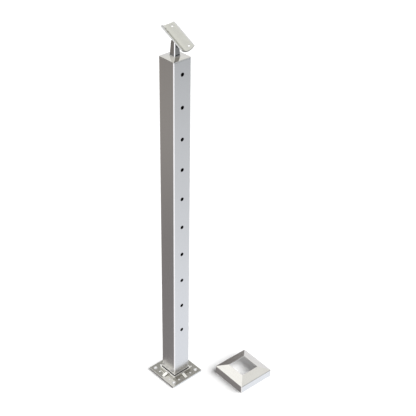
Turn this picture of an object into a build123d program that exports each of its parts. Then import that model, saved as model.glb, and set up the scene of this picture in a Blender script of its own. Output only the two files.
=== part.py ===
"""Stair railing post: square tube on a cast flange, with a tilting saddle for a round handrail.

Millimetres and degrees. The origin is the centre of the flange's underside and +Z points up. The cables
pass along X, and the handrail falls towards +X. The loose base cover lies on the floor beside the post.
"""

import os
from math import asin, atan2, cos, degrees, hypot, radians, sin, tan

from build123d import *

# Post tube
post_height = 914.4
tube_side = 50.0
tube_wall = 2.0
tube_corner_r = 2.5
cable_hole_d = 8.0
cable_hole_count = 10
cable_hole_pitch = 80.0
lowest_cable_hole = 160.0

# Base flange
flange_side = 100.0
flange_thickness = 5.7
flange_corner_r = 2.5
flange_edge_break = 0.6
collar_gap = 1.5
collar_wall = 3.1
collar_top = 13.5
collar_step_out = 1.4
collar_step_top = 8.6
collar_seat_top = 4.2
tube_seat_clearance = 0.25
rib_width = 8.0
rib_top = 11.0
rib_length = 15.0
bolt_hole_d = 9.0
bolt_spacing = 76.2
screw_hole_d = 5.0
screw_spacing = 40.0
hole_edge_break = 0.7
weld_leg = 2.8

# Top cap
cap_rim = 2.5
cap_rise = 1.8
cap_land_margin = 0.4
cap_skirt_depth = 20.0
cap_skirt_wall = 2.5
cap_skirt_clearance = 0.25
cap_skirt_lead = 1.0

# Stem
stem_pad_side = 18.6
stem_pad_height = 1.1
stem_foot_side = 17.2
stem_pivot_side = 13.6
stem_corner_r = 2.2
stem_fillet = 0.6
pivot_above_pad = 30.0
slot_width = 4.4
slot_below_pivot = 7.4
pivot_hole_clearance = 0.05

# Stem bolt and its washers
bolt_d = 8.0
bolt_head_d = 13.0
bolt_head_height = 8.0
bolt_socket_af = 6.0
bolt_socket_depth = 4.0
bolt_engagement = 11.0
bolt_hole_clearance = 0.25
thread_clearance = 0.05
thread_runout = 2.0
washer_d = 16.0
washer_thickness = 1.6
spring_washer_d = 14.1
spring_washer_thickness = 2.0
spring_washer_slit = 1.2

# Saddle
rail_d = 50.8
saddle_thickness = 3.0
saddle_width = 35.6
saddle_length = 80.4
saddle_bow = 3.1
saddle_corner_r = 1.5
saddle_tilt = 27.0
seat_above_pivot = 15.0
rail_screw_d = 5.0
rail_screw_head_d = 8.4
rail_screw_length_spacing = 60.8
rail_screw_width_spacing = 19.4
lug_side_clearance = 0.2
lug_r = 5.2
lug_base = 22.0

# Pivot screw
pivot_screw_d = 4.0
pivot_head_d = 7.6
pivot_head_recess = 0.2
pivot_socket_af = 2.5
pivot_socket_depth = 1.4
pivot_tip_break = 0.4

# Base cover
cover_side = 105.0
cover_sheet = 1.2
cover_corner_r = 2.5
cover_skirt = 20.7
cover_height = 30.2
cover_tube_clearance = 1.5
cover_place = (130.0, 127.5)
cover_turn = -2.2

# Worked-out heights and sides
tube_bore = tube_side - 2 * tube_wall
tube_bore_r = tube_corner_r - tube_wall
tube_top = post_height - cap_rim
seat_side = tube_side + 2 * tube_seat_clearance
seat_corner_r = tube_corner_r + tube_seat_clearance
weld_side = seat_side + 2 * weld_leg
weld_corner_r = seat_corner_r + weld_leg
collar_bore = tube_side + 2 * collar_gap
collar_side = collar_bore + 2 * collar_wall
cap_land_z = post_height + cap_rise
cap_land_side = stem_pad_side + 2 * cap_land_margin
pad_top = cap_land_z + stem_pad_height
pivot_z = cap_land_z + pivot_above_pad
rail_r = rail_d / 2
plate_outer_r = rail_r + saddle_thickness

# The stem's straight taper, carried on past the pivot to the top of its round crown
crown_r = stem_pivot_side / 2
stem_top = pivot_z + crown_r
stem_taper = degrees(atan2((stem_foot_side - stem_pivot_side) / 2, pivot_z - pad_top))

# Frames of the tilted saddle, all with their origin on the pivot axis
pivot_point = (0, 0, pivot_z)
tilt = radians(saddle_tilt)
along_rail = (cos(tilt), 0, -sin(tilt))
seat_normal = (sin(tilt), 0, cos(tilt))
saddle_plan = Plane(origin=pivot_point, x_dir=along_rail, z_dir=seat_normal)
saddle_section = Plane(origin=pivot_point, x_dir=(0, 1, 0), z_dir=along_rail)
saddle_side = Plane(origin=pivot_point, x_dir=along_rail, z_dir=(0, -1, 0))
rail_axis_height = seat_above_pivot + rail_r

os.makedirs("parts", exist_ok=True)


# Post tube: drawn square tube, drilled straight through both X walls for the cables
with BuildPart() as post_tube:
    with BuildSketch():
        RectangleRounded(tube_side, tube_side, tube_corner_r)
        RectangleRounded(tube_bore, tube_bore, tube_bore_r, mode=Mode.SUBTRACT)
    extrude(amount=tube_top)
    with BuildSketch(Plane.YZ):
        with Locations(*[(0, lowest_cable_hole + i * cable_hole_pitch) for i in range(cable_hole_count)]):
            Circle(cable_hole_d / 2)
    extrude(amount=tube_side, both=True, mode=Mode.SUBTRACT)
post_tube.part.label = "post_tube"
export_step(post_tube.part, "parts/post_tube.step")


# Base flange: one casting with a stepped collar, a rib in the middle of each side and a close tube seat
rib_foot = collar_side / 2 - collar_wall / 2
rib_planes = [
    Plane(origin=(0, 0, 0), x_dir=(cos(turn), sin(turn), 0), z_dir=(sin(turn), -cos(turn), 0))
    for turn in (radians(90 * side) for side in range(4))
]
with BuildPart() as base_flange:
    with BuildSketch():
        RectangleRounded(flange_side, flange_side, flange_corner_r)
    extrude(amount=flange_thickness)
    chamfer(base_flange.faces().sort_by(Axis.Z)[-1].edges(), length=flange_edge_break)
    with BuildSketch(Plane.XY.offset(flange_thickness)):
        RectangleRounded(
            collar_side + 2 * collar_step_out, collar_side + 2 * collar_step_out, seat_corner_r + collar_wall
        )
    extrude(amount=collar_step_top - flange_thickness)
    with BuildSketch(Plane.XY.offset(collar_step_top)):
        RectangleRounded(collar_side, collar_side, seat_corner_r)
    extrude(amount=collar_top - collar_step_top)
    with BuildSketch(*rib_planes):
        with BuildLine():
            Polyline(
                (rib_foot, flange_thickness),
                (collar_side / 2 + rib_length, flange_thickness),
                (collar_side / 2, rib_top),
                (rib_foot, rib_top),
                close=True,
            )
        make_face()
    extrude(amount=rib_width / 2, both=True)
    with BuildSketch(Plane.XY.offset(collar_seat_top)):
        RectangleRounded(collar_bore, collar_bore, seat_corner_r)
    extrude(amount=collar_top - collar_seat_top, mode=Mode.SUBTRACT)
    with BuildSketch():
        RectangleRounded(seat_side, seat_side, seat_corner_r)
    extrude(amount=collar_seat_top, mode=Mode.SUBTRACT)
    with BuildSketch():
        RectangleRounded(weld_side, weld_side, weld_corner_r)
    extrude(amount=weld_leg, taper=45, mode=Mode.SUBTRACT)
    with Locations((0, 0, flange_thickness)):
        with GridLocations(bolt_spacing, bolt_spacing, 2, 2):
            CounterSinkHole(bolt_hole_d / 2, bolt_hole_d / 2 + hole_edge_break, counter_sink_angle=90)
        with GridLocations(screw_spacing, bolt_spacing, 2, 2):
            Hole(screw_hole_d / 2)
        with GridLocations(bolt_spacing, screw_spacing, 2, 2):
            Hole(screw_hole_d / 2)
base_flange.part.label = "base_flange"
export_step(base_flange.part, "parts/base_flange.step")


# Foot weld: the bead that fills the groove between tube and flange, ground flush with the underside
with BuildPart() as foot_weld:
    with BuildSketch():
        RectangleRounded(weld_side, weld_side, weld_corner_r)
    extrude(amount=weld_leg, taper=45)
    with BuildSketch():
        RectangleRounded(tube_side, tube_side, tube_corner_r)
    extrude(amount=weld_leg, mode=Mode.SUBTRACT)
foot_weld.part.label = "foot_weld"
export_step(foot_weld.part, "parts/foot_weld.step")


# Top cap: rim flush with the tube, four shallow slopes up to the stem's land, and a skirt inside the tube
skirt_side = tube_bore - 2 * cap_skirt_clearance
skirt_bore = skirt_side - 2 * cap_skirt_wall
with BuildPart() as top_cap:
    with BuildSketch(Plane.XY.offset(post_height)):
        Rectangle(tube_side, tube_side)
    with BuildSketch(Plane.XY.offset(cap_land_z)):
        Rectangle(cap_land_side, cap_land_side)
    loft(ruled=True)
    with BuildSketch(Plane.XY.offset(tube_top)):
        Rectangle(tube_side, tube_side)
    extrude(amount=cap_rim)
    with BuildSketch(Plane.XY.offset(tube_top)):
        RectangleRounded(tube_side, tube_side, tube_corner_r)
    extrude(amount=cap_rim + cap_rise, mode=Mode.INTERSECT)
    with BuildSketch(Plane.XY.offset(tube_top)):
        RectangleRounded(skirt_side, skirt_side, cap_skirt_lead + tube_bore_r)
    extrude(amount=-cap_skirt_depth)
    chamfer(top_cap.faces().sort_by(Axis.Z)[0].edges(), length=cap_skirt_lead)
    with BuildSketch(Plane.XY.offset(tube_top)):
        Rectangle(skirt_bore, skirt_bore)
    extrude(amount=-cap_skirt_depth, mode=Mode.SUBTRACT)
    with Locations((0, 0, cap_land_z)):
        Hole(bolt_d / 2 + bolt_hole_clearance, depth=cap_land_z - tube_top)
top_cap.part.label = "top_cap"
export_step(top_cap.part, "parts/top_cap.step")


# Stem: tapered square bar with a flared foot, a round crown about the pivot and a slot across its top
with BuildPart() as stem:
    with BuildSketch(Plane.XY.offset(pad_top)):
        Rectangle(stem_foot_side, stem_foot_side)
    extrude(amount=stem_top - pad_top, taper=stem_taper)
    fillet(stem.edges().filter_by(lambda edge: edge.length > pivot_above_pad), radius=stem_corner_r)
    with BuildSketch(Plane.XY.offset(cap_land_z)):
        RectangleRounded(stem_pad_side, stem_pad_side, stem_corner_r + stem_fillet)
    extrude(amount=stem_pad_height)
    pad_face = stem.faces().filter_by(Plane.XY).sort_by(Axis.Z)[1]
    fillet(pad_face.inner_wires().edges(), radius=stem_fillet)
    with BuildSketch(Plane.XZ):
        with Locations((0, pivot_z)):
            Circle(crown_r)
        with Locations((0, (cap_land_z + pivot_z) / 2)):
            Rectangle(2 * stem_pad_side, pivot_above_pad)
    extrude(amount=stem_pad_side, both=True, mode=Mode.INTERSECT)
    with BuildSketch(Plane.YZ):
        with Locations((0, pivot_z - slot_below_pivot)):
            Circle(slot_width / 2)
            Rectangle(slot_width, slot_below_pivot + 2 * crown_r, align=(Align.CENTER, Align.MIN))
    extrude(amount=stem_pad_side, both=True, mode=Mode.SUBTRACT)
    with Locations(Plane(origin=(0, 0, cap_land_z), z_dir=(0, 0, -1))):
        Hole(bolt_d / 2 + thread_clearance, depth=bolt_engagement + thread_runout)
    with Locations(Plane(origin=(0, crown_r - pivot_head_recess, pivot_z), z_dir=(0, 1, 0))):
        CounterSinkHole(
            pivot_screw_d / 2 + pivot_hole_clearance,
            pivot_head_d / 2 + pivot_hole_clearance,
            counter_sink_angle=90,
        )
stem.part.label = "stem"
export_step(stem.part, "parts/stem.step")


# Washers under the cap: a flat one against the casting, then a split spring washer
with BuildPart() as flat_washer:
    with BuildSketch(Plane.XY.offset(tube_top)):
        Circle(washer_d / 2)
        Circle(bolt_d / 2 + bolt_hole_clearance, mode=Mode.SUBTRACT)
    extrude(amount=-washer_thickness)
flat_washer.part.label = "flat_washer"
export_step(flat_washer.part, "parts/flat_washer.step")

with BuildPart() as spring_washer:
    with BuildSketch(Plane.XY.offset(tube_top - washer_thickness)):
        Circle(spring_washer_d / 2)
        Circle(bolt_d / 2 + bolt_hole_clearance, mode=Mode.SUBTRACT)
        with Locations((0, spring_washer_d / 4)):
            Rectangle(spring_washer_slit, spring_washer_d / 2, mode=Mode.SUBTRACT)
    extrude(amount=-spring_washer_thickness)
spring_washer.part.label = "spring_washer"
export_step(spring_washer.part, "parts/spring_washer.step")


# Stem bolt: socket head cap screw, driven from inside the cap into the stem
bolt_seat = tube_top - washer_thickness - spring_washer_thickness
bolt_tip = cap_land_z + bolt_engagement
bolt_edge_break = thread_runout / 2
with BuildPart() as stem_bolt:
    with BuildSketch(Plane.XZ):
        with BuildLine():
            Polyline(
                (0, bolt_seat - bolt_head_height),
                (bolt_head_d / 2, bolt_seat - bolt_head_height),
                (bolt_head_d / 2, bolt_seat),
                (bolt_d / 2, bolt_seat),
                (bolt_d / 2, bolt_tip - bolt_edge_break),
                (bolt_d / 2 - bolt_edge_break, bolt_tip),
                (0, bolt_tip),
                close=True,
            )
        make_face()
    revolve(axis=Axis.Z)
    with BuildSketch(Plane.XY.offset(bolt_seat - bolt_head_height)):
        RegularPolygon(bolt_socket_af / 2, 6, major_radius=False)
    extrude(amount=bolt_socket_depth, mode=Mode.SUBTRACT)
stem_bolt.part.label = "stem_bolt"
export_step(stem_bolt.part, "parts/stem_bolt.step")


# Saddle plate: sheet curved to the rail, cut to bowed ends, with screw holes square to the curve
half_arc = degrees(asin(saddle_width / 2 / rail_r))
bow_r = ((saddle_width / 2) ** 2 + saddle_bow**2) / (2 * saddle_bow)
bow_centre = saddle_length / 2 - bow_r
hole_lean = asin(rail_screw_width_spacing / 2 / rail_r)
hole_planes = []
for end in (-1, 1):
    for side in (-1, 1):
        mouth = saddle_plan.from_local_coords(
            Vector(
                end * rail_screw_length_spacing / 2,
                side * plate_outer_r * sin(hole_lean),
                rail_axis_height - plate_outer_r * cos(hole_lean),
            )
        )
        axis_point = saddle_plan.from_local_coords(
            Vector(end * rail_screw_length_spacing / 2, 0, rail_axis_height)
        )
        hole_planes.append(Plane(origin=mouth, z_dir=mouth - axis_point))
with BuildPart() as saddle_plate:
    with BuildSketch(saddle_section):
        with BuildLine():
            seat_arc = CenterArc((0, rail_axis_height), rail_r, 270 - half_arc, 2 * half_arc)
            back_arc = CenterArc((0, rail_axis_height), plate_outer_r, 270 - half_arc, 2 * half_arc)
            Line(seat_arc @ 0, back_arc @ 0)
            Line(seat_arc @ 1, back_arc @ 1)
        make_face()
    extrude(amount=saddle_length, both=True)
    with BuildSketch(saddle_plan):
        with Locations((bow_centre, 0)):
            Circle(bow_r)
        with Locations((-bow_centre, 0)):
            Circle(bow_r, mode=Mode.INTERSECT)
    extrude(amount=rail_axis_height, mode=Mode.INTERSECT)
    fillet(saddle_plate.edges().filter_by(lambda edge: edge.length < 1.5 * saddle_thickness), saddle_corner_r)
    with Locations(*hole_planes):
        CounterSinkHole(rail_screw_d / 2, rail_screw_head_d / 2, counter_sink_angle=90)
saddle_plate.part.label = "saddle_plate"
export_step(saddle_plate.part, "parts/saddle_plate.step")


# Saddle lug: the tongue welded under the plate, round about the pivot and spread where it meets the plate
lug_thickness = slot_width - 2 * lug_side_clearance
plate_under = seat_above_pivot - saddle_thickness
lug_corner = hypot(lug_base / 2, plate_under)
flank_lean = atan2(lug_base / 2, plate_under) - asin(lug_r / lug_corner)
flank_touch = (lug_r * cos(flank_lean), -lug_r * sin(flank_lean))
with BuildPart() as saddle_lug:
    with BuildSketch(saddle_side):
        Circle(lug_r)
        with BuildLine():
            Polyline(
                (-flank_touch[0], flank_touch[1]),
                flank_touch,
                (lug_base / 2, plate_under),
                (lug_base / 2, seat_above_pivot),
                (-lug_base / 2, seat_above_pivot),
                (-lug_base / 2, plate_under),
                close=True,
            )
        make_face()
        Circle(pivot_screw_d / 2 + pivot_hole_clearance, mode=Mode.SUBTRACT)
    extrude(amount=lug_thickness / 2, both=True)
    with BuildSketch(saddle_section):
        with Locations((0, rail_axis_height)):
            Circle(plate_outer_r)
    extrude(amount=lug_base, both=True, mode=Mode.SUBTRACT)
saddle_lug.part.label = "saddle_lug"
export_step(saddle_lug.part, "parts/saddle_lug.step")


# Pivot screw: countersunk socket screw along Y, flush with both cheeks of the fork
pivot_head_y = crown_r - pivot_head_recess
pivot_tip_y = -pivot_head_y
pivot_cone = (pivot_head_d - pivot_screw_d) / 2
with BuildPart() as pivot_screw:
    with BuildSketch(Plane(origin=pivot_point, x_dir=(0, 1, 0), z_dir=(1, 0, 0))):
        with BuildLine():
            Polyline(
                (pivot_head_y, 0),
                (pivot_head_y, pivot_head_d / 2),
                (pivot_head_y - pivot_cone, pivot_screw_d / 2),
                (pivot_tip_y + pivot_tip_break, pivot_screw_d / 2),
                (pivot_tip_y, pivot_screw_d / 2 - pivot_tip_break),
                (pivot_tip_y, 0),
                close=True,
            )
        make_face()
    revolve(axis=Axis(pivot_point, (0, 1, 0)))
    with BuildSketch(Plane(origin=(0, pivot_head_y, pivot_z), z_dir=(0, 1, 0))):
        RegularPolygon(pivot_socket_af / 2, 6, major_radius=False)
    extrude(amount=-pivot_socket_depth, mode=Mode.SUBTRACT)
pivot_screw.part.label = "pivot_screw"
export_step(pivot_screw.part, "parts/pivot_screw.step")


# Base cover: pressed shell with a straight skirt and four slopes up to an opening that clears the tube
cover_opening = tube_side + 2 * cover_tube_clearance
slope_angle = atan2(cover_height - cover_skirt, (cover_side - cover_opening) / 2)
inner_drop = cover_sheet / cos(slope_angle) - cover_sheet * tan(slope_angle)
cover_frame = Plane(
    origin=cover_place,
    x_dir=(cos(radians(cover_turn)), sin(radians(cover_turn)), 0),
    z_dir=(0, 0, 1),
)


def cover_form(inset):
    """Solid form of the cover, inset by nothing for its outside or by the sheet for its inside."""
    side = cover_side - 2 * inset
    opening = cover_opening - 2 * inset
    drop = inner_drop * inset / cover_sheet
    with BuildPart() as form:
        with BuildSketch(cover_frame):
            Rectangle(side, side)
        extrude(amount=cover_skirt - drop)
        with BuildSketch(cover_frame.offset(cover_skirt - drop)):
            Rectangle(side, side)
        with BuildSketch(cover_frame.offset(cover_height - drop)):
            Rectangle(opening, opening)
        loft(ruled=True)
        with BuildSketch(cover_frame):
            RectangleRounded(side, side, cover_corner_r - inset)
        extrude(amount=cover_height, mode=Mode.INTERSECT)
    return form.part


cover_outside = cover_form(0)
cover_inside = cover_form(cover_sheet)
with BuildPart() as base_cover:
    add(cover_outside)
    add(cover_inside, mode=Mode.SUBTRACT)
    with BuildSketch(cover_frame):
        RectangleRounded(cover_opening, cover_opening, cover_sheet)
    extrude(amount=cover_height, mode=Mode.SUBTRACT)
base_cover.part.label = "base_cover"
export_step(base_cover.part, "parts/base_cover.step")
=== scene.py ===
"""Stair railing post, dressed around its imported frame: finishes, soft edges, threads and the set.

Metres, +Z up. The frame's pieces keep their places; what is added here rides on the same bodies.
"""

from __future__ import annotations

import logging
import math
from collections.abc import Callable
from dataclasses import dataclass
from enum import Enum

import bmesh
import bpy
from mathutils import Matrix, Vector


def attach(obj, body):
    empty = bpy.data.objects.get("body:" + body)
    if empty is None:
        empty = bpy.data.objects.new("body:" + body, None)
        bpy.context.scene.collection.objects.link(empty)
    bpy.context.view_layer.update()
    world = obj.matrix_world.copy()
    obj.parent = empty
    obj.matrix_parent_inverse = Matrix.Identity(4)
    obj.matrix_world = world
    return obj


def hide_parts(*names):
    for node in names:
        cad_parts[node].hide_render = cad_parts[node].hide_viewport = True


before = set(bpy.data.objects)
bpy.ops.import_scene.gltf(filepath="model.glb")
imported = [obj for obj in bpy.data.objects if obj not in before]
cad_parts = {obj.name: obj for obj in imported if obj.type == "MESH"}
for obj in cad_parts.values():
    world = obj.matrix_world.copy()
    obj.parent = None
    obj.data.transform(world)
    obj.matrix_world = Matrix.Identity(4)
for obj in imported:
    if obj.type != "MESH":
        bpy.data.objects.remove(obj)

Pairs = tuple[tuple[float, float], ...]
Triple = tuple[float, float, float]

Face = bpy.types.MeshPolygon
Form = bmesh.types.BMesh
Mesh = bpy.types.Mesh
Node = bpy.types.Node
Object = bpy.types.Object
Socket = bpy.types.NodeSocket
Tree = bpy.types.NodeTree

LOG = logging.getLogger("railing_post")
MM = 0.001
UP = Vector((0, 0, 1))
ROOT = "root"
SADDLE = "saddle"

# Range that most values of a noise texture fall in, and the share that broad clouds have in a finish
NOISE_LOW = 0.3
NOISE_HIGH = 0.7
CLOUD_SHARE = 0.35

# Vertices nearer than this are one, and faces that turn by less than this lie in one plane
WELD_MM = 0.002
PLANE_DEG = 0.2

# Pieces joined from several forms are creased where they turn by more than this
JOINED_CREASE_DEG = 38.0

# Number of points in one turn of a thread, and number of sides of a ridge on a thread or a knurl
TURN_POINTS = 40
RIDGE_SIDES = 4


def linear(code: str) -> tuple[float, float, float, float]:
    """Turn an sRGB hex colour into linear light.

    Args:
        code: Six hex digits after a hash sign.

    Returns:
        Red, green, blue and alpha in linear light.
    """
    parts = [int(code[i : i + 2], 16) / 255 for i in (1, 3, 5)]
    light = [c / 12.92 if c <= 0.04045 else ((c + 0.055) / 1.055) ** 2.4 for c in parts]
    return (light[0], light[1], light[2], 1.0)


def add_node(tree: Tree, kind: str, settings: dict | None = None, links: dict | None = None) -> Node:
    """Add one node with its settings and its input links or values.

    Args:
        tree: The node tree that gets the node.
        kind: The node's type name.
        settings: Property names and values.
        links: Input names or numbers, each with a socket to link or a value to set.

    Returns:
        The new node.
    """
    node = tree.nodes.new(kind)
    for name, value in (settings or {}).items():
        setattr(node, name, value)
    for key, value in (links or {}).items():
        socket = node.inputs[key]
        if isinstance(value, Socket):
            tree.links.new(value, socket)
        else:
            socket.default_value = value
    return node


class Grain(Enum):
    """Way in which a surface was worked, as stretch factors of its marks along X, Y and Z."""

    UPRIGHT = (1.0, 1.0, 0.02)
    ALONG_X = (0.02, 1.0, 1.0)
    EVEN = (1.0, 1.0, 1.0)


@dataclass(frozen=True)
class SteelFinish:
    """Stainless steel with one surface treatment.

    Attributes:
        name: The material's name, for what the steel is and how it was worked.
        slot: The record's material slot that a piece in this finish belongs to; not used.
        tint: Colour of the metal's reflection, sRGB hex.
        shade: Colour where marks lie dense or the skin is thicker, sRGB hex.
        roughness: Mean micro-roughness.
        spread: How far the marks change the roughness.
        grain: Way of the marks.
        grit_mm: Width of one mark or pit.
        relief_mm: Height of the marks in the bump.
        cloud_mm: Size of the broad cloudy patches left by handling and polishing.
    """

    name: str
    slot: str
    tint: str
    shade: str
    roughness: float
    spread: float
    grain: Grain
    grit_mm: float
    relief_mm: float
    cloud_mm: float

    def build(self) -> bpy.types.Material:
        """Make the material, once.

        Returns:
            A metallic material whose colour, roughness and relief follow the marks and clouds.
        """
        if self.name in bpy.data.materials:
            return bpy.data.materials[self.name]
        material = bpy.data.materials.new(self.name)
        material.use_nodes = True
        tree = material.node_tree
        tree.nodes.clear()
        place = add_node(tree, "ShaderNodeTexCoord").outputs["Object"]
        stretch = add_node(tree, "ShaderNodeMapping", links={"Vector": place, "Scale": self.grain.value})
        fine = {"Vector": stretch.outputs[0], "Scale": 1 / (self.grit_mm * MM), "Detail": 3.0}
        marks = add_node(tree, "ShaderNodeTexNoise", links=fine).outputs[0]
        broad = {"Vector": place, "Scale": 1 / (self.cloud_mm * MM), "Detail": 2.0, "Roughness": 0.6}
        clouds = add_node(tree, "ShaderNodeTexNoise", links=broad).outputs[0]
        shares = {"Factor": CLOUD_SHARE, "A": marks, "B": clouds}
        mixed = add_node(tree, "ShaderNodeMix", {"data_type": "FLOAT"}, shares).outputs[0]
        limits = {
            "Value": mixed,
            "From Min": NOISE_LOW,
            "From Max": NOISE_HIGH,
            "To Min": self.roughness - self.spread,
            "To Max": self.roughness + self.spread,
        }
        rough = add_node(tree, "ShaderNodeMapRange", links=limits)
        colour = add_node(tree, "ShaderNodeValToRGB", links={"Fac": mixed})
        ends = ((NOISE_LOW, self.shade), (NOISE_HIGH, self.tint))
        for element, (position, code) in zip(colour.color_ramp.elements, ends):
            element.position = position
            element.color = linear(code)
        relief = {"Height": marks, "Strength": 1.0, "Distance": self.relief_mm * MM}
        bump = add_node(tree, "ShaderNodeBump", links=relief)
        steel = {
            "Base Color": colour.outputs[0],
            "Metallic": 1.0,
            "Roughness": rough.outputs[0],
            "Normal": bump.outputs[0],
        }
        shader = add_node(tree, "ShaderNodeBsdfPrincipled", links=steel)
        add_node(tree, "ShaderNodeOutputMaterial", links={"Surface": shader.outputs[0]})
        return material


# Square tube, belt-ground lengthwise with fine grit: a soft sheen with faint upright lines
SATIN = SteelFinish(
    "belt_ground_stainless_tube", "satin_tube", "#dcdbda", "#d8d7d5", roughness=0.26, spread=0.012,
    grain=Grain.UPRIGHT, grit_mm=0.5, relief_mm=0.0012, cloud_mm=60,
)
# Rounded corners of that tube, which the belt only brushes, so a little clearer than its faces; their
# lighter tint is a painted highlight
ROLLED = SteelFinish(
    "rolled_tube_corner", "satin_tube", "#eeedec", "#e9e8e7", roughness=0.22, spread=0.012,
    grain=Grain.UPRIGHT, grit_mm=0.5, relief_mm=0.001, cloud_mm=60,
)
# Inside of the tube, its drilled holes, the flange's bore and the stem's slot: dull and scaly, and
# painted near black as the shade in them
MILL = SteelFinish(
    "unpolished_mill_scale", "satin_tube", "#141312", "#0f0e0d", roughness=0.6, spread=0.08,
    grain=Grain.UPRIGHT, grit_mm=0.8, relief_mm=0.02, cloud_mm=20,
)
# Investment casting, bead-blasted and lightly polished: a warm, even, faintly pitted grey
CAST = SteelFinish(
    "blasted_cast_stainless", "cast_flange", "#e0dfdb", "#d7d6d1", roughness=0.15, spread=0.04,
    grain=Grain.EVEN, grit_mm=0.9, relief_mm=0.006, cloud_mm=14,
)
# Collar rim, rib slopes and drilled holes, cut after casting: matt, so they take light from all round,
# and given a lighter tint than the casting as a painted highlight
FACED = SteelFinish(
    "linished_casting", "cast_flange", "#f6f6f4", "#efeeeb", roughness=0.36, spread=0.05,
    grain=Grain.EVEN, grit_mm=0.4, relief_mm=0.004, cloud_mm=10,
)
# Creases round the foot of the collar's steps and of the ribs: rough, and painted dark as the shade that
# falls in them
CREASE = SteelFinish(
    "unreached_crease", "cast_flange", "#6a6760", "#54514b", roughness=0.45, spread=0.08,
    grain=Grain.EVEN, grit_mm=0.5, relief_mm=0.02, cloud_mm=6,
)
# Weld bead ground flush: coarse scratches one way, straw-tinted by the heat
WELD = SteelFinish(
    "ground_weld_bead", "weld_bead", "#c9bfa8", "#a79f97", roughness=0.38, spread=0.08,
    grain=Grain.ALONG_X, grit_mm=0.6, relief_mm=0.03, cloud_mm=9,
)
# Cap and stem castings, mirror-polished on a wheel: clear reflections, slightly wavy
POLISHED = SteelFinish(
    "mirror_polished_casting", "polished_casting", "#d9d8d5", "#cfcdc9", roughness=0.06, spread=0.02,
    grain=Grain.EVEN, grit_mm=6, relief_mm=0.006, cloud_mm=20,
)
# Rounded upright corners of the stem: a lighter tint than its faces, a painted highlight
BURNISHED = SteelFinish(
    "burnished_stem_corner", "polished_casting", "#f8f8f6", "#f4f4f2", roughness=0.10, spread=0.02,
    grain=Grain.EVEN, grit_mm=6, relief_mm=0.004, cloud_mm=20,
)
# Saddle, pressed from cold-rolled sheet and tumbled: blurred reflections
SHEET = SteelFinish(
    "tumbled_pressed_sheet", "polished_sheet", "#d6d6d1", "#cdcdc7", roughness=0.18, spread=0.03,
    grain=Grain.EVEN, grit_mm=0.7, relief_mm=0.002, cloud_mm=12,
)
# Base cover, pressed shell with a brushed face: fine lines along one side
COVER = SteelFinish(
    "brushed_pressed_cover", "satin_cover", "#dfdedb", "#dbd9d6", roughness=0.18, spread=0.02,
    grain=Grain.ALONG_X, grit_mm=0.6, relief_mm=0.002, cloud_mm=30,
)
# Screws and washers, turned and pickled: dull even grey
PLAIN = SteelFinish(
    "pickled_fastener_steel", "fastener_steel", "#bdbcb8", "#aeaca8", roughness=0.34, spread=0.05,
    grain=Grain.EVEN, grit_mm=0.5, relief_mm=0.01, cloud_mm=5,
)


@dataclass(frozen=True)
class EdgeBreak:
    """Rounding that a sharp edge gets in the finishing shop.

    Attributes:
        width_mm: Width of the rounding.
        segments: Number of facets across it.
        sharper_than_deg: Edges that turn by more than this get it.
        clamped: Whether the shortest edge nearby limits the width, as it must where forms crowd.
        between_mm: Lowest and highest level of the edges that get it, or None for all of them.
    """

    width_mm: float
    segments: int = 3
    sharper_than_deg: float = 25.0
    clamped: bool = True
    between_mm: tuple[float, float] | None = None

    def lies_at(self, edge: bmesh.types.BMEdge) -> bool:
        """Tell whether an edge lies within the levels that get the rounding.

        Args:
            edge: An edge of the form.

        Returns:
            Whether both its ends do.
        """
        low, high = self.between_mm or (-math.inf, math.inf)
        return all(low < end.co.z / MM < high for end in edge.verts)


def hand_over(piece: Object, body: str, finish: SteelFinish, *replaced: str) -> None:
    """Dress a new piece, let it ride on its body and report it.

    Args:
        piece: The finished mesh object at the origin.
        body: Name of the body that carries it.
        finish: The finish that it gets.
        replaced: CAD nodes that it stands for.
    """
    piece.data.materials.clear()
    piece.data.materials.append(finish.build())
    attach(piece, body)
    if replaced:
        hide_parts(*replaced)
    LOG.info("%s: %d faces in %s on %s", piece.name, len(piece.data.polygons), finish.name, body)


def dress(node: str, finish: SteelFinish) -> None:
    """Give a CAD node that stays its finish, and report it.

    Args:
        node: Name of the CAD node.
        finish: The finish that it gets.
    """
    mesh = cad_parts[node].data
    mesh.materials.clear()
    mesh.materials.append(finish.build())
    LOG.info("%s: kept, in %s", node, finish.name)


def refinish(
    piece: Object,
    others: tuple[SteelFinish, ...],
    pick: Callable[[Mesh, Face], SteelFinish | None],
) -> None:
    """Give some faces of a dressed piece another finish.

    Args:
        piece: The dressed piece.
        others: The finishes that it gets besides its first.
        pick: Tells which of them a face gets, or None where the first one stays.
    """
    for finish in others:
        piece.data.materials.append(finish.build())
    for face in piece.data.polygons:
        picked = pick(piece.data, face)
        if picked is not None:
            face.material_index = 1 + others.index(picked)


def welded_copy(node: str) -> Form:
    """Copy a CAD node's mesh, join its loose triangles and clear the lines inside its flat faces.

    Args:
        node: Name of the CAD node.

    Returns:
        The joined mesh, still to be freed.
    """
    form = bmesh.new()
    form.from_mesh(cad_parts[node].data)
    bmesh.ops.remove_doubles(form, verts=form.verts, dist=WELD_MM * MM)
    flat = math.radians(PLANE_DEG)
    bmesh.ops.dissolve_limit(form, angle_limit=flat, verts=form.verts, edges=form.edges)
    return form


def plain_object(name: str, form: Form) -> Object:
    """Turn a form into a linked object at the origin and free it.

    Args:
        name: Name of the object.
        form: Its mesh, which is freed.

    Returns:
        The object.
    """
    mesh = bpy.data.meshes.new(name)
    form.to_mesh(mesh)
    form.free()
    piece = bpy.data.objects.new(name, mesh)
    bpy.context.scene.collection.objects.link(piece)
    return piece


def applied(piece: Object) -> Object:
    """Turn a piece's modifiers into plain mesh and remove them.

    Args:
        piece: A linked object with modifiers.

    Returns:
        The same object, with the evaluated mesh.
    """
    bpy.context.view_layer.update()
    seen = piece.evaluated_get(bpy.context.evaluated_depsgraph_get())
    mesh = bpy.data.meshes.new_from_object(seen)
    piece.modifiers.clear()
    piece.data = mesh
    return piece


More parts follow.
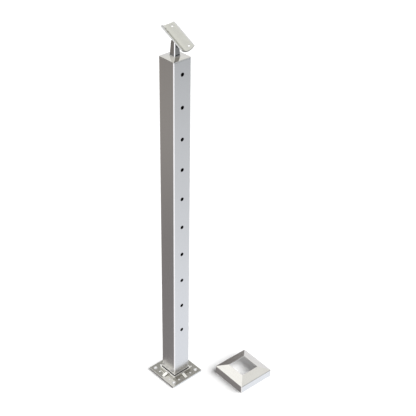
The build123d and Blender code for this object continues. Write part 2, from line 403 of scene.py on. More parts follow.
def shade(piece: Object, crease_deg: float) -> None:
    """Shade a piece smooth, with creases where it turns by more than an angle.

    Args:
        piece: The piece.
        crease_deg: The angle.
    """
    piece.data.shade_smooth()
    piece.data.set_sharp_from_angle(angle=math.radians(crease_deg))


def cut_across(form: Form, way: Vector, *distances_mm: float) -> None:
    """Cut the faces of a form with planes, and keep both sides.

    Args:
        form: The form.
        way: Direction that the planes are square to.
        *distances_mm: How far along it each plane lies from the origin.
    """
    for distance in distances_mm:
        whole = form.verts[:] + form.edges[:] + form.faces[:]
        bmesh.ops.bisect_plane(form, geom=whole, plane_co=way * distance * MM, plane_no=way)


def softened(node: str, name: str, *edge_breaks: EdgeBreak, levels_mm: tuple[float, ...] = ()) -> Object:
    """Copy a CAD node and round its sharp edges, with its flat faces shaded flat.

    Args:
        node: Name of the CAD node.
        name: Name of the new piece.
        *edge_breaks: The roundings, in the order in which they are made.
        levels_mm: Levels at which its walls are cut across, so that another finish can end there.

    Returns:
        The softened piece, at the origin.
    """
    form = welded_copy(node)
    cut_across(form, UP, *levels_mm)
    groups = []
    for number, edge_break in enumerate(edge_breaks):
        group = form.edges.layers.float.new(f"edge_break_{number}")
        for edge in form.edges:
            sharp = edge.calc_face_angle(0.0) > math.radians(edge_break.sharper_than_deg)
            edge[group] = float(sharp and edge_break.lies_at(edge))
        groups.append(group.name)
    piece = plain_object(name, form)
    shade(piece, 180.0)
    for group, edge_break in zip(groups, edge_breaks):
        bevel = piece.modifiers.new(group, "BEVEL")
        bevel.width = edge_break.width_mm * MM
        bevel.segments = edge_break.segments
        bevel.limit_method = "WEIGHT"
        bevel.edge_weight = group
        bevel.miter_outer = "MITER_ARC"
        bevel.use_clamp_overlap = edge_break.clamped
        bevel.loop_slide = True
    flat = piece.modifiers.new("flat_faces", "WEIGHTED_NORMAL")
    flat.mode = "FACE_AREA"
    flat.weight = 100
    return applied(piece)


def opened_tree(name: str, **inputs: str) -> tuple[Tree, bpy.types.NodeOutputs]:
    """Start a geometry tree that takes named inputs and gives out geometry.

    Args:
        name: Name of the tree.
        **inputs: Names of its inputs, each with the kind of its socket.

    Returns:
        The tree and the sockets that its inputs come from.
    """
    tree = bpy.data.node_groups.new(name, "GeometryNodeTree")
    for socket, kind in inputs.items():
        tree.interface.new_socket(socket, in_out="INPUT", socket_type=f"NodeSocket{kind}")
    tree.interface.new_socket("Geometry", in_out="OUTPUT", socket_type="NodeSocketGeometry")
    return tree, add_node(tree, "NodeGroupInput").outputs


def close_tree(tree: Tree, geometry: Socket, finish: Socket) -> None:
    """End a geometry tree: make its instances real, dress them and give them out.

    Args:
        tree: The geometry tree.
        geometry: The socket that holds what it made.
        finish: The socket that holds the material.
    """
    real = add_node(tree, "GeometryNodeRealizeInstances", links={"Geometry": geometry})
    dress_up = {"Geometry": real.outputs[0], "Material": finish}
    dressed = add_node(tree, "GeometryNodeSetMaterial", links=dress_up)
    add_node(tree, "NodeGroupOutput", links={"Geometry": dressed.outputs[0]})


def grown(name: str, tree: Tree, values: dict[str, object]) -> Object:
    """Run a geometry tree once and keep its result as a plain mesh.

    Args:
        name: Name of the new piece.
        tree: The geometry tree.
        values: Names of all its inputs and the values that they get.

    Returns:
        The piece, at the origin and with no modifier.
    """
    piece = plain_object(name, bmesh.new())
    modifier = piece.modifiers.new(name, "NODES")
    modifier.node_group = tree
    for item in tree.interface.items_tree:
        if item.in_out == "INPUT":
            modifier[item.identifier] = values[item.name]
    return applied(piece)


def joined(name: str, parts: list[Object]) -> Object:
    """Join several pieces at the origin into one.

    Args:
        name: Name of the joined piece.
        parts: The pieces, which are removed.

    Returns:
        The joined piece.
    """
    form = bmesh.new()
    for part in parts:
        form.from_mesh(part.data)
        bpy.data.objects.remove(part)
    piece = plain_object(name, form)
    shade(piece, JOINED_CREASE_DEG)
    return piece


@dataclass(frozen=True)
class ThreadForm:
    """Metric thread, cut right-handed.

    Attributes:
        outer_mm: Outer diameter.
        pitch_mm: Rise in one turn.
        depth_mm: Depth of the groove.
        length_mm: Threaded length.
        runout_mm: Length over which the shank narrows to the thread's core.
    """

    outer_mm: float
    pitch_mm: float
    depth_mm: float
    length_mm: float
    runout_mm: float

    @property
    def core_mm(self) -> float:
        """Radius at the bottom of the groove."""
        return self.outer_mm / 2 - self.depth_mm

    def tree(self) -> Tree:
        """Build the geometry tree that winds the ridge up +Z from the origin.

        Returns:
            A tree with the inputs Radius, Length, Turns, Ridge and Finish.
        """
        name = "thread_ridge"
        if name in bpy.data.node_groups:
            return bpy.data.node_groups[name]
        tree, given = opened_tree(
            name, Radius="Float", Length="Float", Turns="Float", Ridge="Float", Finish="Material"
        )
        sizes = {
            "Resolution": TURN_POINTS,
            "Rotations": given["Turns"],
            "Start Radius": given["Radius"],
            "End Radius": given["Radius"],
            "Height": given["Length"],
            "Reverse": False,
        }
        spiral = add_node(tree, "GeometryNodeCurveSpiral", links=sizes).outputs[0]
        upright = add_node(tree, "GeometryNodeSetCurveNormal", {"mode": "Z_UP"}, {"Curve": spiral})
        section = {"Resolution": RIDGE_SIDES, "Radius": given["Ridge"]}
        ridge = add_node(tree, "GeometryNodeCurvePrimitiveCircle", {"mode": "RADIUS"}, section)
        sweep = {"Curve": upright.outputs[0], "Profile Curve": ridge.outputs[0], "Fill Caps": True}
        swept = add_node(tree, "GeometryNodeCurveToMesh", links=sweep)
        close_tree(tree, swept.outputs[0], given["Finish"])
        return tree

    def ridge(self, name: str, finish: SteelFinish) -> Object:
        """Make the ridge, wound up +Z from the origin.

        Args:
            name: Name of the piece.
            finish: Finish of the thread.

        Returns:
            The helical ridge, its inner half sunk in the core.
        """
        values = {
            "Radius": self.core_mm * MM,
            "Length": self.length_mm * MM,
            "Turns": self.length_mm / self.pitch_mm,
            "Ridge": self.depth_mm * MM,
            "Finish": finish.build(),
        }
        return grown(name, self.tree(), values)


@dataclass
class PostTube:
    """Square tube of the post, with the flattened weld seam that runs down its inside.

    Attributes:
        half_mm: Half its outer width.
        corner_mm: Outer radius of its upright corners.
        skin_mm: Depth from which a face counts as the inside.
        hole_skin_mm: The same beside the cable holes, whose broken edges get the painted shade too.
        hole_half_mm: Distance from the middle line within which a face lies by the holes.
        bore_half_mm: Half its inner width.
        top_mm: Level at which the holes' zone and the seam end.
        seam_foot_mm: Level at which the seam begins.
        seam_width_mm: Mean width of the seam.
        seam_height_mm: Height of the seam over the wall.
        seam_rings: Number of its cross sections.
        seam_section: Points of a section, in shares of its half width and of its height.
        seam_wander: Waves in its width, each with its share of the width and its step from ring to ring.
        seam_crease_deg: Angle above which it is creased.
        foot_edge: Break of the edges at its lower end.
        top_edge: Break of the edges at its upper end.
        hole_edge: Break of the cable holes' edges.
        finish: Finish of its faces.
        inside: Near-black finish of its inside and its holes, painted shade.
        corner: Finish of its upright corners, lighter as a painted highlight.
    """

    half_mm: float = 25.0
    corner_mm: float = 2.5
    skin_mm: float = 0.3
    hole_skin_mm: float = 0.03
    hole_half_mm: float = 5.0
    bore_half_mm: float = 23.0
    top_mm: float = 890.0
    seam_foot_mm: float = 1.0
    seam_width_mm: float = 2.4
    seam_height_mm: float = 0.35
    seam_rings: int = 150
    seam_section: Pairs = ((-1.0, -0.02), (-0.6, 0.8), (0.0, 1.0), (0.6, 0.8), (1.0, -0.02))
    seam_wander: Pairs = ((0.12, 1.7), (0.08, 0.61))
    seam_crease_deg: float = 60.0
    foot_edge: EdgeBreak = EdgeBreak(0.5, 2, 40.0, clamped=False, between_mm=(-1.0, 20.0))
    top_edge: EdgeBreak = EdgeBreak(0.5, 2, 40.0, clamped=False, between_mm=(905.0, 920.0))
    hole_edge: EdgeBreak = EdgeBreak(0.8, 3, 40.0, clamped=False, between_mm=(150.0, 890.0))
    finish: SteelFinish = SATIN
    inside: SteelFinish = MILL
    corner: SteelFinish = ROLLED

    def pick(self, _mesh: Mesh, face: Face) -> SteelFinish | None:
        """Tell which finish a face of the tube gets.

        Args:
            _mesh: The softened tube, not needed.
            face: One of its faces.

        Returns:
            The painted shade inside and on the holes' broken edges, the painted highlight at the
            corners, else None.
        """
        core = (self.half_mm - self.corner_mm) * MM
        past = Vector((max(abs(face.center.x) - core, 0), max(abs(face.center.y) - core, 0)))
        by_hole = abs(face.center.y) < self.hole_half_mm * MM and face.center.z < self.top_mm * MM
        skin = self.hole_skin_mm if by_hole else self.skin_mm
        # Faces inside the tube and on the cable holes' broken edges get near black, painted shade
        if past.length < (self.corner_mm - skin) * MM:
            return self.inside
        # Faces on the rounded corners get the lighter tint, a painted highlight
        return self.corner if min(past) > 0 else None

    def seam(self) -> Object:
        """Make the seam as a low strip whose edges wander a little.

        Returns:
            The strip, on the inner face towards -Y.
        """
        form = bmesh.new()
        rings = []
        for i in range(self.seam_rings + 1):
            z = self.seam_foot_mm + (self.top_mm - self.seam_foot_mm) * i / self.seam_rings
            wander = sum(share * math.sin(i * step) for share, step in self.seam_wander)
            half = self.seam_width_mm / 2 * (1 + wander)
            ring = []
            for x_share, y_share in self.seam_section:
                place = Vector((half * x_share, self.seam_height_mm * y_share - self.bore_half_mm, z))
                ring.append(form.verts.new(place * MM))
            rings.append(ring)
        for low, high in zip(rings, rings[1:]):
            for k, _ in enumerate(low):
                m = (k + 1) % len(low)
                form.faces.new((low[m], low[k], high[k], high[m]))
        form.faces.new(rings[0])
        form.faces.new(rings[-1][::-1])
        bmesh.ops.recalc_face_normals(form, faces=form.faces)
        piece = plain_object("tube_seam", form)
        shade(piece, self.seam_crease_deg)
        return piece

    def build(self) -> None:
        """Soften the tube's cut edges, give its parts their finishes and add the seam."""
        shell = softened("post_tube", "tube_shell", self.foot_edge, self.top_edge, self.hole_edge)
        hand_over(shell, ROOT, self.finish, "post_tube")
        refinish(shell, (self.inside, self.corner), self.pick)
        # The seam inside the tube gets the same near-black painted shade
        hand_over(self.seam(), ROOT, self.inside)


@dataclass
class BaseFlange:
    """Cast flange with its collar and ribs, and the weld that holds the tube in it.

    Attributes:
        rim_mm: Level of the collar's rim.
        bore_mm: Half width within which all corners of a face in the bore lie.
        rib_slopes: Lowest and highest upward share of a rib slope's normal.
        step_levels_mm: Levels of the plate's top and of the collar's step, where creases lie.
        crease_mm: Height of the painted shade on the wall above a crease.
        upright: Upward share of a normal below which a face counts as a wall.
        chamfer: Upward share of a normal below which a face still belongs to a drilled hole.
        drilled_mm: Least and greatest distance of the holes from the axis, along X or Y.
        edge: Break of all its edges.
        finish: Finish of the casting.
        faced: Finish of its rim, its rib slopes and its drilled holes, lighter as a painted highlight.
        crease: Painted shade in its creases.
        bore: Near-black finish of its bore, painted shade.
        weld: Finish of the weld.
    """

    rim_mm: float = 13.5
    bore_mm: float = 26.7
    rib_slopes: tuple[float, float] = (0.92, 0.97)
    step_levels_mm: tuple[float, float] = (5.7, 8.6)
    crease_mm: float = 1.1
    upright: float = 0.1
    chamfer: float = 0.9
    drilled_mm: tuple[float, float] = (31.0, 48.0)
    edge: EdgeBreak = EdgeBreak(0.45)
    finish: SteelFinish = CAST
    faced: SteelFinish = FACED
    crease: SteelFinish = CREASE
    bore: SteelFinish = MILL
    weld: SteelFinish = WELD

    def pick(self, mesh: Mesh, face: Face) -> SteelFinish | None:
        """Tell which finish a face of the casting gets.

        Args:
            mesh: The softened casting.
            face: One of its faces.

        Returns:
            The near-black painted shade of the bore, the lighter painted highlight of holes, rim and
            ribs, or the painted shade of the creases, else None.
        """
        corners = [mesh.vertices[i].co for i in face.vertices]
        level = face.center.z / MM
        lean = face.normal.z
        out = max(abs(face.center.x), abs(face.center.y)) / MM
        # Faces in the bore get near black, painted shade
        if max(max(abs(corner.x), abs(corner.y)) for corner in corners) < self.bore_mm * MM:
            return self.bore
        # Drilled hole walls and their chamfers get the lighter tint, a painted highlight
        in_zone = level < self.step_levels_mm[0] and self.drilled_mm[0] < out < self.drilled_mm[1]
        if in_zone and -self.upright < lean < self.chamfer:
            return self.faced
        # So do the collar's rim and the rib slopes
        if level > self.rim_mm - self.edge.width_mm or self.rib_slopes[0] < lean < self.rib_slopes[1]:
            return self.faced
        # Walls just above the plate's top and the collar's step get painted shade
        creased = any(low < level < low + self.crease_mm for low in self.step_levels_mm)
        return self.crease if creased and abs(lean) < self.upright else None

    def build(self) -> None:
        """Soften the casting's edges, give its parts their finishes and dress the weld."""
        tops = tuple(level + self.crease_mm for level in self.step_levels_mm)
        piece = softened("base_flange", "flange_casting", self.edge, levels_mm=tops)
        hand_over(piece, ROOT, self.finish, "base_flange")
        refinish(piece, (self.faced, self.bore, self.crease), self.pick)
        dress("foot_weld", self.weld)


@dataclass
class CapAndStem:
    """Polished cap casting with the forked stem that stands on it.

    Attributes:
        cap_edge: Break of the cap's edges.
        stem_edge: Break of the stem's edges.
        slot_half_mm: Half width within which all corners of a face in the stem's slot lie.
        corner_facing: Share of a normal along both X and Y above which a face belongs to a corner.
        finish: Finish of both castings.
        slot: Near-black finish of the slot, painted shade.
        corner: Finish of the stem's corners, lighter as a painted highlight.
    """

    cap_edge: EdgeBreak = EdgeBreak(0.25, 2, 20.0)
    stem_edge: EdgeBreak = EdgeBreak(0.3, 3, 30.0)
    slot_half_mm: float = 2.25
    corner_facing: float = 0.25
    finish: SteelFinish = POLISHED
    slot: SteelFinish = MILL
    corner: SteelFinish = BURNISHED

    def pick(self, mesh: Mesh, face: Face) -> SteelFinish | None:
        """Tell which finish a face of the stem gets.

        Args:
            mesh: The softened stem.
            face: One of its faces.

        Returns:
            The painted shade in the slot, the painted highlight at the corners, else None.
        """
        # Faces in the slot get near black, painted shade
        if max(abs(mesh.vertices[i].co.y) for i in face.vertices) < self.slot_half_mm * MM:
            return self.slot
        # Faces on the upright corners get the lighter tint, a painted highlight
        return self.corner if min(abs(face.normal.x), abs(face.normal.y)) > self.corner_facing else None

    def build(self) -> None:
        """Soften both castings, paint the stem's slot near black as shade and give the stem's corners a
        lighter tint as a painted highlight.
        """
        hand_over(softened("top_cap", "cap_casting", self.cap_edge), ROOT, self.finish, "top_cap")
        stem = softened("stem", "stem_fork", self.stem_edge)
        hand_over(stem, ROOT, self.finish, "stem")
        refinish(stem, (self.slot, self.corner), self.pick)


@dataclass
class RailSaddle:
    """Curved saddle plate for the handrail, with the lug welded under it.

    Attributes:
        edge: Break of the plate's edges.
        finish: Finish of plate and lug.
    """

    edge: EdgeBreak = EdgeBreak(0.35)
    finish: SteelFinish = SHEET

    def build(self) -> None:
        """Soften the plate's edges and dress the lug."""
        plate = softened("saddle_plate", "saddle_sheet", self.edge)
        hand_over(plate, SADDLE, self.finish, "saddle_plate")
        dress("saddle_lug", self.finish)


@dataclass
class BaseCover:
    """Pressed cover, taken off the post and laid beside it.

    Attributes:
        fold: Rounding of the fold between its skirt and its slopes.
        lip: Rounding of the edge of its opening.
        edge: Break of its other edges.
        finish: Finish of the shell.
    """

    fold: EdgeBreak = EdgeBreak(0.9, 4, 40.0, clamped=False, between_mm=(20.2, 21.6))
    lip: EdgeBreak = EdgeBreak(0.8, 4, 40.0, clamped=False, between_mm=(29.8, 30.6))
    edge: EdgeBreak = EdgeBreak(0.3, 3, 20.0)
    finish: SteelFinish = COVER

    def build(self) -> None:
        """Round the shell's fold and its opening's lip, and keep it out of the post's reflections."""
        shell = softened("base_cover", "cover_shell", self.fold, self.lip, self.edge)
        shell.visible_glossy = False
        hand_over(shell, ROOT, self.finish, "base_cover")


@dataclass
class Fasteners:
    """Stem bolt with its washers inside the cap, and the cross screw of the saddle's hinge.

    Attributes:
        bolt_thread: Thread of the bolt.
        tip_mm: Level of the bolt's tip.
        head_low_mm: Level of its head's lower end.
        head_high_mm: Level of its head's upper end.
        head_radius_mm: Radius of its head.
        head_edges_mm: Height of the head's two chamfers together, which stay plain.
        knurl_count: Number of ridges round the head.
        knurl_depth_mm: Depth of the knurl.
        knurl_bar: Radius of the bar that makes a ridge, in knurl depths.
        screw_thread: Thread of the cross screw.
        screw_tip_mm: Distance of the cross screw's tip from the axis, towards -Y.
        pivot_mm: Level of the cross screw.
        slack_mm: Allowance where a vertex is looked for at a level.
        skin_mm: The same on the head's round side.
        washer_edges: The washers, each with the break of its edges.
        finish: Finish of them all.
    """

    bolt_thread: ThreadForm = ThreadForm(
        outer_mm=8.0, pitch_mm=1.25, depth_mm=0.65, length_mm=15.5, runout_mm=0.6
    )
    tip_mm: float = 927.2
    head_low_mm: float = 900.3
    head_high_mm: float = 908.3
    head_radius_mm: float = 6.5
    head_edges_mm: float = 1.4
    knurl_count: int = 60
    knurl_depth_mm: float = 0.18
    knurl_bar: float = 1.4
    screw_thread: ThreadForm = ThreadForm(
        outer_mm=4.0, pitch_mm=0.7, depth_mm=0.35, length_mm=3.0, runout_mm=0.3
    )
    screw_tip_mm: float = 6.6
    pivot_mm: float = 946.2
    slack_mm: float = 0.01
    skin_mm: float = 0.05
    washer_edges: tuple[tuple[str, EdgeBreak], ...] = (
        ("flat_washer", EdgeBreak(0.15, 2)),
        ("spring_washer", EdgeBreak(0.12, 2)),
    )
    finish: SteelFinish = PLAIN

    def knurl_tree(self) -> Tree:
        """Build the geometry tree that stands ridges round a circle.

        Returns:
            A tree with the inputs Radius, Count, Width, Height and Finish.
        """
        tree, given = opened_tree(
            "knurl_ring", Radius="Float", Count="Int", Width="Float", Height="Float", Finish="Material"
        )
        circle = {"Vertices": given["Count"], "Radius": given["Radius"]}
        ring = add_node(tree, "GeometryNodeMeshCircle", {"fill_type": "NONE"}, circle).outputs[0]
        sizes = {"Vertices": RIDGE_SIDES, "Radius": given["Width"], "Depth": given["Height"]}
        bar = add_node(tree, "GeometryNodeMeshCylinder", {"fill_type": "NGON"}, sizes).outputs[0]
        place = add_node(tree, "GeometryNodeInputPosition").outputs[0]
        turn = add_node(tree, "FunctionNodeAlignRotationToVector", {"axis": "X"}, {"Vector": place})
        stand = {"Points": ring, "Instance": bar, "Rotation": turn.outputs[0]}
        ridges = add_node(tree, "GeometryNodeInstanceOnPoints", links=stand)
        close_tree(tree, ridges.outputs[0], given["Finish"])
        return tree

    def bolt(self) -> Object:
        """Make the socket head bolt: the CAD bolt with a cut thread and a knurled head.

        Returns:
            The bolt as one piece.
        """
        start = self.tip_mm - self.bolt_thread.length_mm
        form = welded_copy("stem_bolt")
        cut_across(form, UP, start - self.bolt_thread.runout_mm, start)
        core = self.bolt_thread.core_mm * MM
        for vert in form.verts:
            out = math.hypot(vert.co.x, vert.co.y)
            if vert.co.z > (start - self.slack_mm) * MM and out > core:
                vert.co.xy *= core / out
            elif (
                vert.co.z < (self.head_high_mm + self.slack_mm) * MM
                and out > (self.head_radius_mm - self.skin_mm) * MM
            ):
                vert.co.xy *= 1 - self.knurl_depth_mm / self.head_radius_mm
        shank = plain_object("bolt_form", form)
        thread = self.bolt_thread.ridge("bolt_ridge", self.finish)
        thread.data.transform(Matrix.Translation(UP * start * MM))
        bar = self.knurl_depth_mm * self.knurl_bar
        sizes = {
            "Radius": (self.head_radius_mm - bar) * MM,
            "Count": self.knurl_count,
            "Width": bar * MM,
            "Height": (self.head_high_mm - self.head_low_mm - self.head_edges_mm) * MM,
            "Finish": self.finish.build(),
        }
        knurl = grown("bolt_knurl", self.knurl_tree(), sizes)
        middle = (self.head_low_mm + self.head_high_mm) / 2
        knurl.data.transform(Matrix.Translation(UP * middle * MM))
        return joined("stem_bolt_cut", [shank, thread, knurl])

    def screw(self) -> Object:
        """Make the hinge's cross screw: the CAD screw with a cut thread in the far cheek.

        Returns:
            The screw as one piece.
        """
        start = self.screw_tip_mm - self.screw_thread.length_mm
        form = welded_copy("pivot_screw")
        cut_across(form, Vector((0, -1, 0)), start - self.screw_thread.runout_mm, start)
        core = self.screw_thread.core_mm * MM
        for vert in form.verts:
            x, z = vert.co.x, vert.co.z - self.pivot_mm * MM
            out = math.hypot(x, z)
            if vert.co.y < -(start - self.slack_mm) * MM and out > core:
                vert.co.x = x * core / out
                vert.co.z = self.pivot_mm * MM + z * core / out
        shank = plain_object("screw_form", form)
        thread = self.screw_thread.ridge("screw_ridge", self.finish)
        place = Matrix.Translation((0, -start * MM, self.pivot_mm * MM))
        thread.data.transform(place @ Matrix.Rotation(math.radians(90), 4, "X"))
        return joined("pivot_screw_cut", [shank, thread])

    def build(self) -> None:
        """Cut the threads and dress the washers."""
        hand_over(self.bolt(), ROOT, self.finish, "stem_bolt")
        hand_over(self.screw(), ROOT, self.finish, "pivot_screw")
        for washer, edge in self.washer_edges:
            hand_over(softened(washer, f"{washer}_soft", edge), ROOT, self.finish, washer)


def fade(tree: Tree, value: Socket, low: float, high: float) -> Socket:
    """Add a smooth rise from 0 to 1.

    Args:
        tree: The node tree.
        value: The socket that drives it.
        low: Value below which it is 0.
        high: Value above which it is 1.

    Returns:
        The socket that holds the result.
    """
    limits = {"Value": value, "From Min": low, "From Max": high}
    return add_node(tree, "ShaderNodeMapRange", {"interpolation_type": "SMOOTHSTEP"}, limits).outputs[0]


def blended(tree: Tree, share: Socket, first: object, second: object) -> Socket:
    """Add a mix of two colours.

    Args:
        tree: The node tree.
        share: The socket that holds the second colour's share.
        first: The first colour, or its socket.
        second: The second colour, or its socket.

    Returns:
        The socket that holds the mixed colour.
    """
    colours = {"Factor": share, 6: first, 7: second}
    return add_node(tree, "ShaderNodeMix", {"data_type": "RGBA"}, colours).outputs[2]


def facing(tree: Tree, way: Socket, toward: Triple | Vector) -> Socket:
    """Add a measure of how far a direction points towards another.

    Args:
        tree: The node tree.
        way: The socket that holds the direction.
        toward: The other direction.

    Returns:
        The socket that holds their dot product.
    """
    product = add_node(tree, "ShaderNodeVectorMath", {"operation": "DOT_PRODUCT"}, {0: way, 1: toward})
    return product.outputs["Value"]


@dataclass
class Studio:
    """Floor, light and camera, fitted to the photograph's view.

    Attributes:
        azimuth_deg: Way to the camera, from -Y towards +X.
        elevation_deg: Angle of the camera above the floor.
        distance: Distance of the camera from the point that it looks at.
        side_offset: How far that point lies to the right of the post's axis.
        aim_height: Height of that point.
        roll_deg: Turn of the camera about its own axis.
        lens_mm: Focal length.
        frame_px: Width of the photograph, whose middle is half a pixel off.
        floor_half: Half the width of the floor.
        paper: Brightness of the floor.
        paper_roughness: Roughness of the floor.
        across: Direction from the left wall to the right one.
        left_fade: Range across which the left wall gives way to the middle one.
        right_fade: Range across which the middle wall gives way to the right one.
        fill_share: Share of the walls' light that falls on matt surfaces.
        sun_strength: Strength of the lamp.
        sun_spread_deg: Angle over which the lamp spreads.
        sun_from: Way to the lamp.
    """

    azimuth_deg: float = 46.864
    elevation_deg: float = 32.963
    distance: float = 2.195
    side_offset: float = 0.07975
    aim_height: float = 0.5239
    roll_deg: float = 1.237
    lens_mm: float = 79.32
    frame_px: int = 416
    floor_half: float = 8.0
    paper: float = 0.93
    paper_roughness: float = 0.9
    across: Triple = (0.73, 0.68, 0.0)
    left_fade: tuple[float, float] = (-0.75, -0.5)
    right_fade: tuple[float, float] = (0.5, 0.75)
    fill_share: float = 0.06
    sun_strength: float = 5.4
    sun_spread_deg: float = 66.0
    sun_from: Triple = (0.75, 0.45, 0.78)

    def camera(self) -> None:
        """Place the camera and make it the scene's own."""
        turn, rise = math.radians(self.azimuth_deg), math.radians(self.elevation_deg)
        reach = math.cos(rise)
        back = Vector((math.sin(turn) * reach, -math.cos(turn) * reach, math.sin(rise)))
        right = Vector((math.cos(turn), math.sin(turn), 0))
        up = back.cross(right)
        roll = math.radians(self.roll_deg)
        right_rolled = right * math.cos(roll) + up * math.sin(roll)
        up_rolled = up * math.cos(roll) - right * math.sin(roll)
        data = bpy.data.cameras.new("view")
        data.lens = self.lens_mm
        data.shift_x = -0.5 / self.frame_px
        data.shift_y = 0.5 / self.frame_px
        camera = bpy.data.objects.new("view", data)
        bpy.context.scene.collection.objects.link(camera)
        place = Vector((0, 0, self.aim_height)) + right * self.side_offset + back * self.distance
        turned = Matrix((right_rolled, up_rolled, back)).transposed().to_4x4()
        camera.matrix_world = Matrix.Translation(place) @ turned
        bpy.context.scene.camera = camera

    def floor(self) -> Object:
        """Lay a plain white floor that shows in no reflection.

        Returns:
            The floor.
        """
        mesh = bpy.data.meshes.new("floor")
        half = self.floor_half
        corners = [(-half, -half, 0), (half, -half, 0), (half, half, 0), (-half, half, 0)]
        mesh.from_pydata(corners, [], [(0, 1, 2, 3)])
        floor = bpy.data.objects.new("floor", mesh)
        bpy.context.scene.collection.objects.link(floor)
        paper = bpy.data.materials.new("studio_paper")
        paper.use_nodes = True
        shader = paper.node_tree.nodes["Principled BSDF"]
        shader.inputs["Base Color"].default_value = (self.paper, self.paper, self.paper, 1)
        shader.inputs["Roughness"].default_value = self.paper_roughness
        shader.inputs["Specular IOR Level"].default_value = 0.0
        mesh.materials.append(paper)
        floor.visible_glossy = False
        return floor

    def walls(self, tree: Tree, way: Socket) -> Socket:
        """Grade the light all round by height, in its own way on the left, in the middle and right.

        Args:
            tree: The world's node tree.
            way: The socket that holds the direction looked in.

        Returns:
            The socket that holds the light from there.
        """
        height = add_node(tree, "ShaderNodeSeparateXYZ", links={"Vector": way}).outputs["Z"]
        lifted = add_node(tree, "ShaderNodeMapRange", links={"Value": height, "From Min": -1.0})
        glows = {}
        for name, stops in WALLS.items():
            ramp = add_node(tree, "ShaderNodeValToRGB", links={"Fac": lifted.outputs[0]})
            elements = ramp.color_ramp.elements
            for element, (level, glow) in zip(elements, (stops[0], stops[-1])):
                element.position = (level + 1) / 2
                element.color = (*glow, 1)
            for level, glow in stops[1:-1]:
                elements.new((level + 1) / 2).color = (*glow, 1)
            glows[name] = ramp.outputs[0]
        side = facing(tree, way, self.across)
        near = blended(tree, fade(tree, side, *self.left_fade), glows["left"], glows["middle"])
        return blended(tree, fade(tree, side, *self.right_fade), near, glows["right"])

    def cards(self, tree: Tree, way: Socket, sight: Socket) -> Socket:
        """Hang the cards in front of the walls.

        Args:
            tree: The world's node tree.
            way: The socket that holds the direction looked in.
            sight: The socket that holds the walls' light.

        Returns:
            The socket that holds the light of walls and cards.
        """
        for card in CARDS:
            nearness = facing(tree, way, Vector(card.toward).normalized())
            outer = math.cos(math.radians(card.half_deg + card.soft_deg / 2))
            inner = math.cos(math.radians(card.half_deg - card.soft_deg / 2))
            sight = blended(tree, fade(tree, nearness, outer, inner), sight, (*card.glow, 1))
        return sight

    def surroundings(self) -> None:
        """Set the light all round, at full strength in reflections and weak on matt surfaces."""
        world = bpy.data.worlds.new("studio_light")
        bpy.context.scene.world = world
        world.use_nodes = True
        tree = world.node_tree
        tree.nodes.clear()
        way = add_node(tree, "ShaderNodeTexCoord").outputs["Generated"]
        sight = self.cards(tree, way, self.walls(tree, way))
        ray = add_node(tree, "ShaderNodeLightPath").outputs["Is Diffuse Ray"]
        limits = {"Value": ray, "To Min": 1.0, "To Max": self.fill_share}
        strength = add_node(tree, "ShaderNodeMapRange", links=limits).outputs[0]
        glow = add_node(tree, "ShaderNodeBackground", links={"Color": sight, "Strength": strength})
        add_node(tree, "ShaderNodeOutputWorld", links={"Surface": glow.outputs[0]})

    def lamp(self, floor: Object, casters: list[Object]) -> None:
        """Set one broad lamp for the floor's shadows.

        Args:
            floor: The floor, which alone takes the lamp's light: steel is lit by what it mirrors.
            casters: The low pieces that shade it, as the photograph shows no shadow of the tall ones.
        """
        light = bpy.data.lights.new("broad_lamp", "SUN")
        light.energy = self.sun_strength
        light.angle = math.radians(self.sun_spread_deg)
        lamp = bpy.data.objects.new("broad_lamp", light)
        bpy.context.scene.collection.objects.link(lamp)
        lamp.rotation_euler = Vector(self.sun_from).to_track_quat("Z", "Y").to_euler()
        lamp.visible_glossy = False
        lit = bpy.data.collections.new("lamp_receivers")
        lit.objects.link(floor)
        lamp.light_linking.receiver_collection = lit
        shading = bpy.data.collections.new("lamp_blockers")
        for caster in casters:
            shading.objects.link(caster)
        lamp.light_linking.blocker_collection = shading


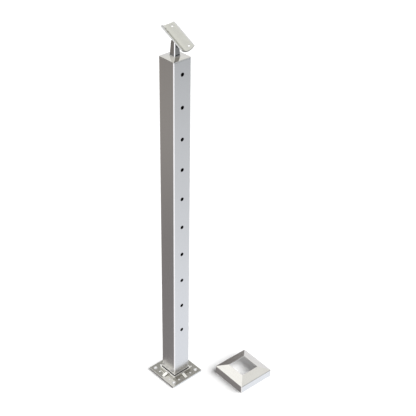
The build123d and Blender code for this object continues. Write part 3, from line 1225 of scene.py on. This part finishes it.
# Studio walls as steel sees them: brightness by height (-1 straight down, 1 straight up), on three sides
WALLS: dict[str, list[tuple[float, Triple]]] = {
    "left": [
        (-1.0, (0.25, 0.24, 0.24)),
        (-0.68, (0.30, 0.285, 0.29)),
        (-0.57, (0.215, 0.20, 0.202)),
        (-0.47, (0.47, 0.445, 0.42)),
        (-0.40, (0.36, 0.335, 0.315)),
        (-0.32, (0.27, 0.25, 0.24)),
        (-0.22, (0.10, 0.095, 0.09)),
        (0.05, (0.08, 0.08, 0.08)),
        (0.30, (0.50, 0.50, 0.52)),
        (0.48, (1.1, 1.1, 1.1)),
        (1.0, (1.3, 1.3, 1.3)),
    ],
    "middle": [
        (-1.0, (0.30, 0.30, 0.31)),
        (-0.30, (0.08, 0.08, 0.09)),
        (-0.02, (0.07, 0.07, 0.08)),
        (0.07, (1.05, 1.05, 1.07)),
        (0.30, (0.94, 0.94, 0.96)),
        (0.55, (1.05, 1.05, 1.01)),
        (1.0, (0.95, 0.95, 0.93)),
    ],
    "right": [
        (-1.0, (0.9, 0.92, 0.95)),
        (-0.68, (1.20, 1.26, 1.38)),
        (-0.62, (1.06, 1.10, 1.175)),
        (-0.54, (0.84, 0.87, 0.92)),
        (-0.46, (0.78, 0.805, 0.845)),
        (-0.41, (0.80, 0.83, 0.87)),
        (-0.30, (0.24, 0.25, 0.27)),
        (0.0, (0.10, 0.11, 0.13)),
        (0.34, (0.12, 0.13, 0.15)),
        (0.46, (0.85, 0.85, 0.88)),
        (0.55, (0.45, 0.44, 0.42)),
        (0.85, (0.45, 0.44, 0.42)),
        (1.0, (0.95, 0.95, 0.93)),
    ],
}


@dataclass(frozen=True)
class Card:
    """Round card that hangs in the studio to be mirrored in the steel.

    Attributes:
        toward: Direction of its middle, seen from the object.
        half_deg: Angle from its middle to its edge.
        soft_deg: Angle over which its edge fades out.
        glow: Its brightness.
    """

    toward: Triple
    half_deg: float
    soft_deg: float
    glow: Triple


# White card low in front for the lit upright corners, a soft one left for the saddle's long edge, one
# high left for the near slopes of cover and ribs, a grey one behind for the flange's top, a black one
# far left for the cover's far slope
CARDS = (
    Card((0.68, -0.73, -0.62), 56, 10, (1.2, 1.2, 1.24)),
    Card((-0.13, -0.75, 0.65), 16, 10, (1.0, 1.0, 1.06)),
    Card((-0.55, -0.16, 0.82), 22, 8, (1.3, 1.3, 1.27)),
    Card((-0.545, 0.51, 0.665), 7.5, 4, (0.37, 0.364, 0.345)),
    Card((-0.92, 0.38, 0.10), 14, 6, (0.15, 0.135, 0.125)),
)


def main() -> None:
    """Build the set, dress every piece and note the sizes."""
    logging.basicConfig(level=logging.INFO, format="%(name)s: %(message)s")
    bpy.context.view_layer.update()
    for assembly in (PostTube(), BaseFlange(), CapAndStem(), RailSaddle(), BaseCover(), Fasteners()):
        assembly.build()
    studio = Studio()
    studio.camera()
    studio.surroundings()
    studio.lamp(studio.floor(), [bpy.data.objects[name] for name in ("cover_shell", "flange_casting")])
    bpy.context.scene.view_settings.view_transform = "Standard"


if __name__ == "__main__":
    main()
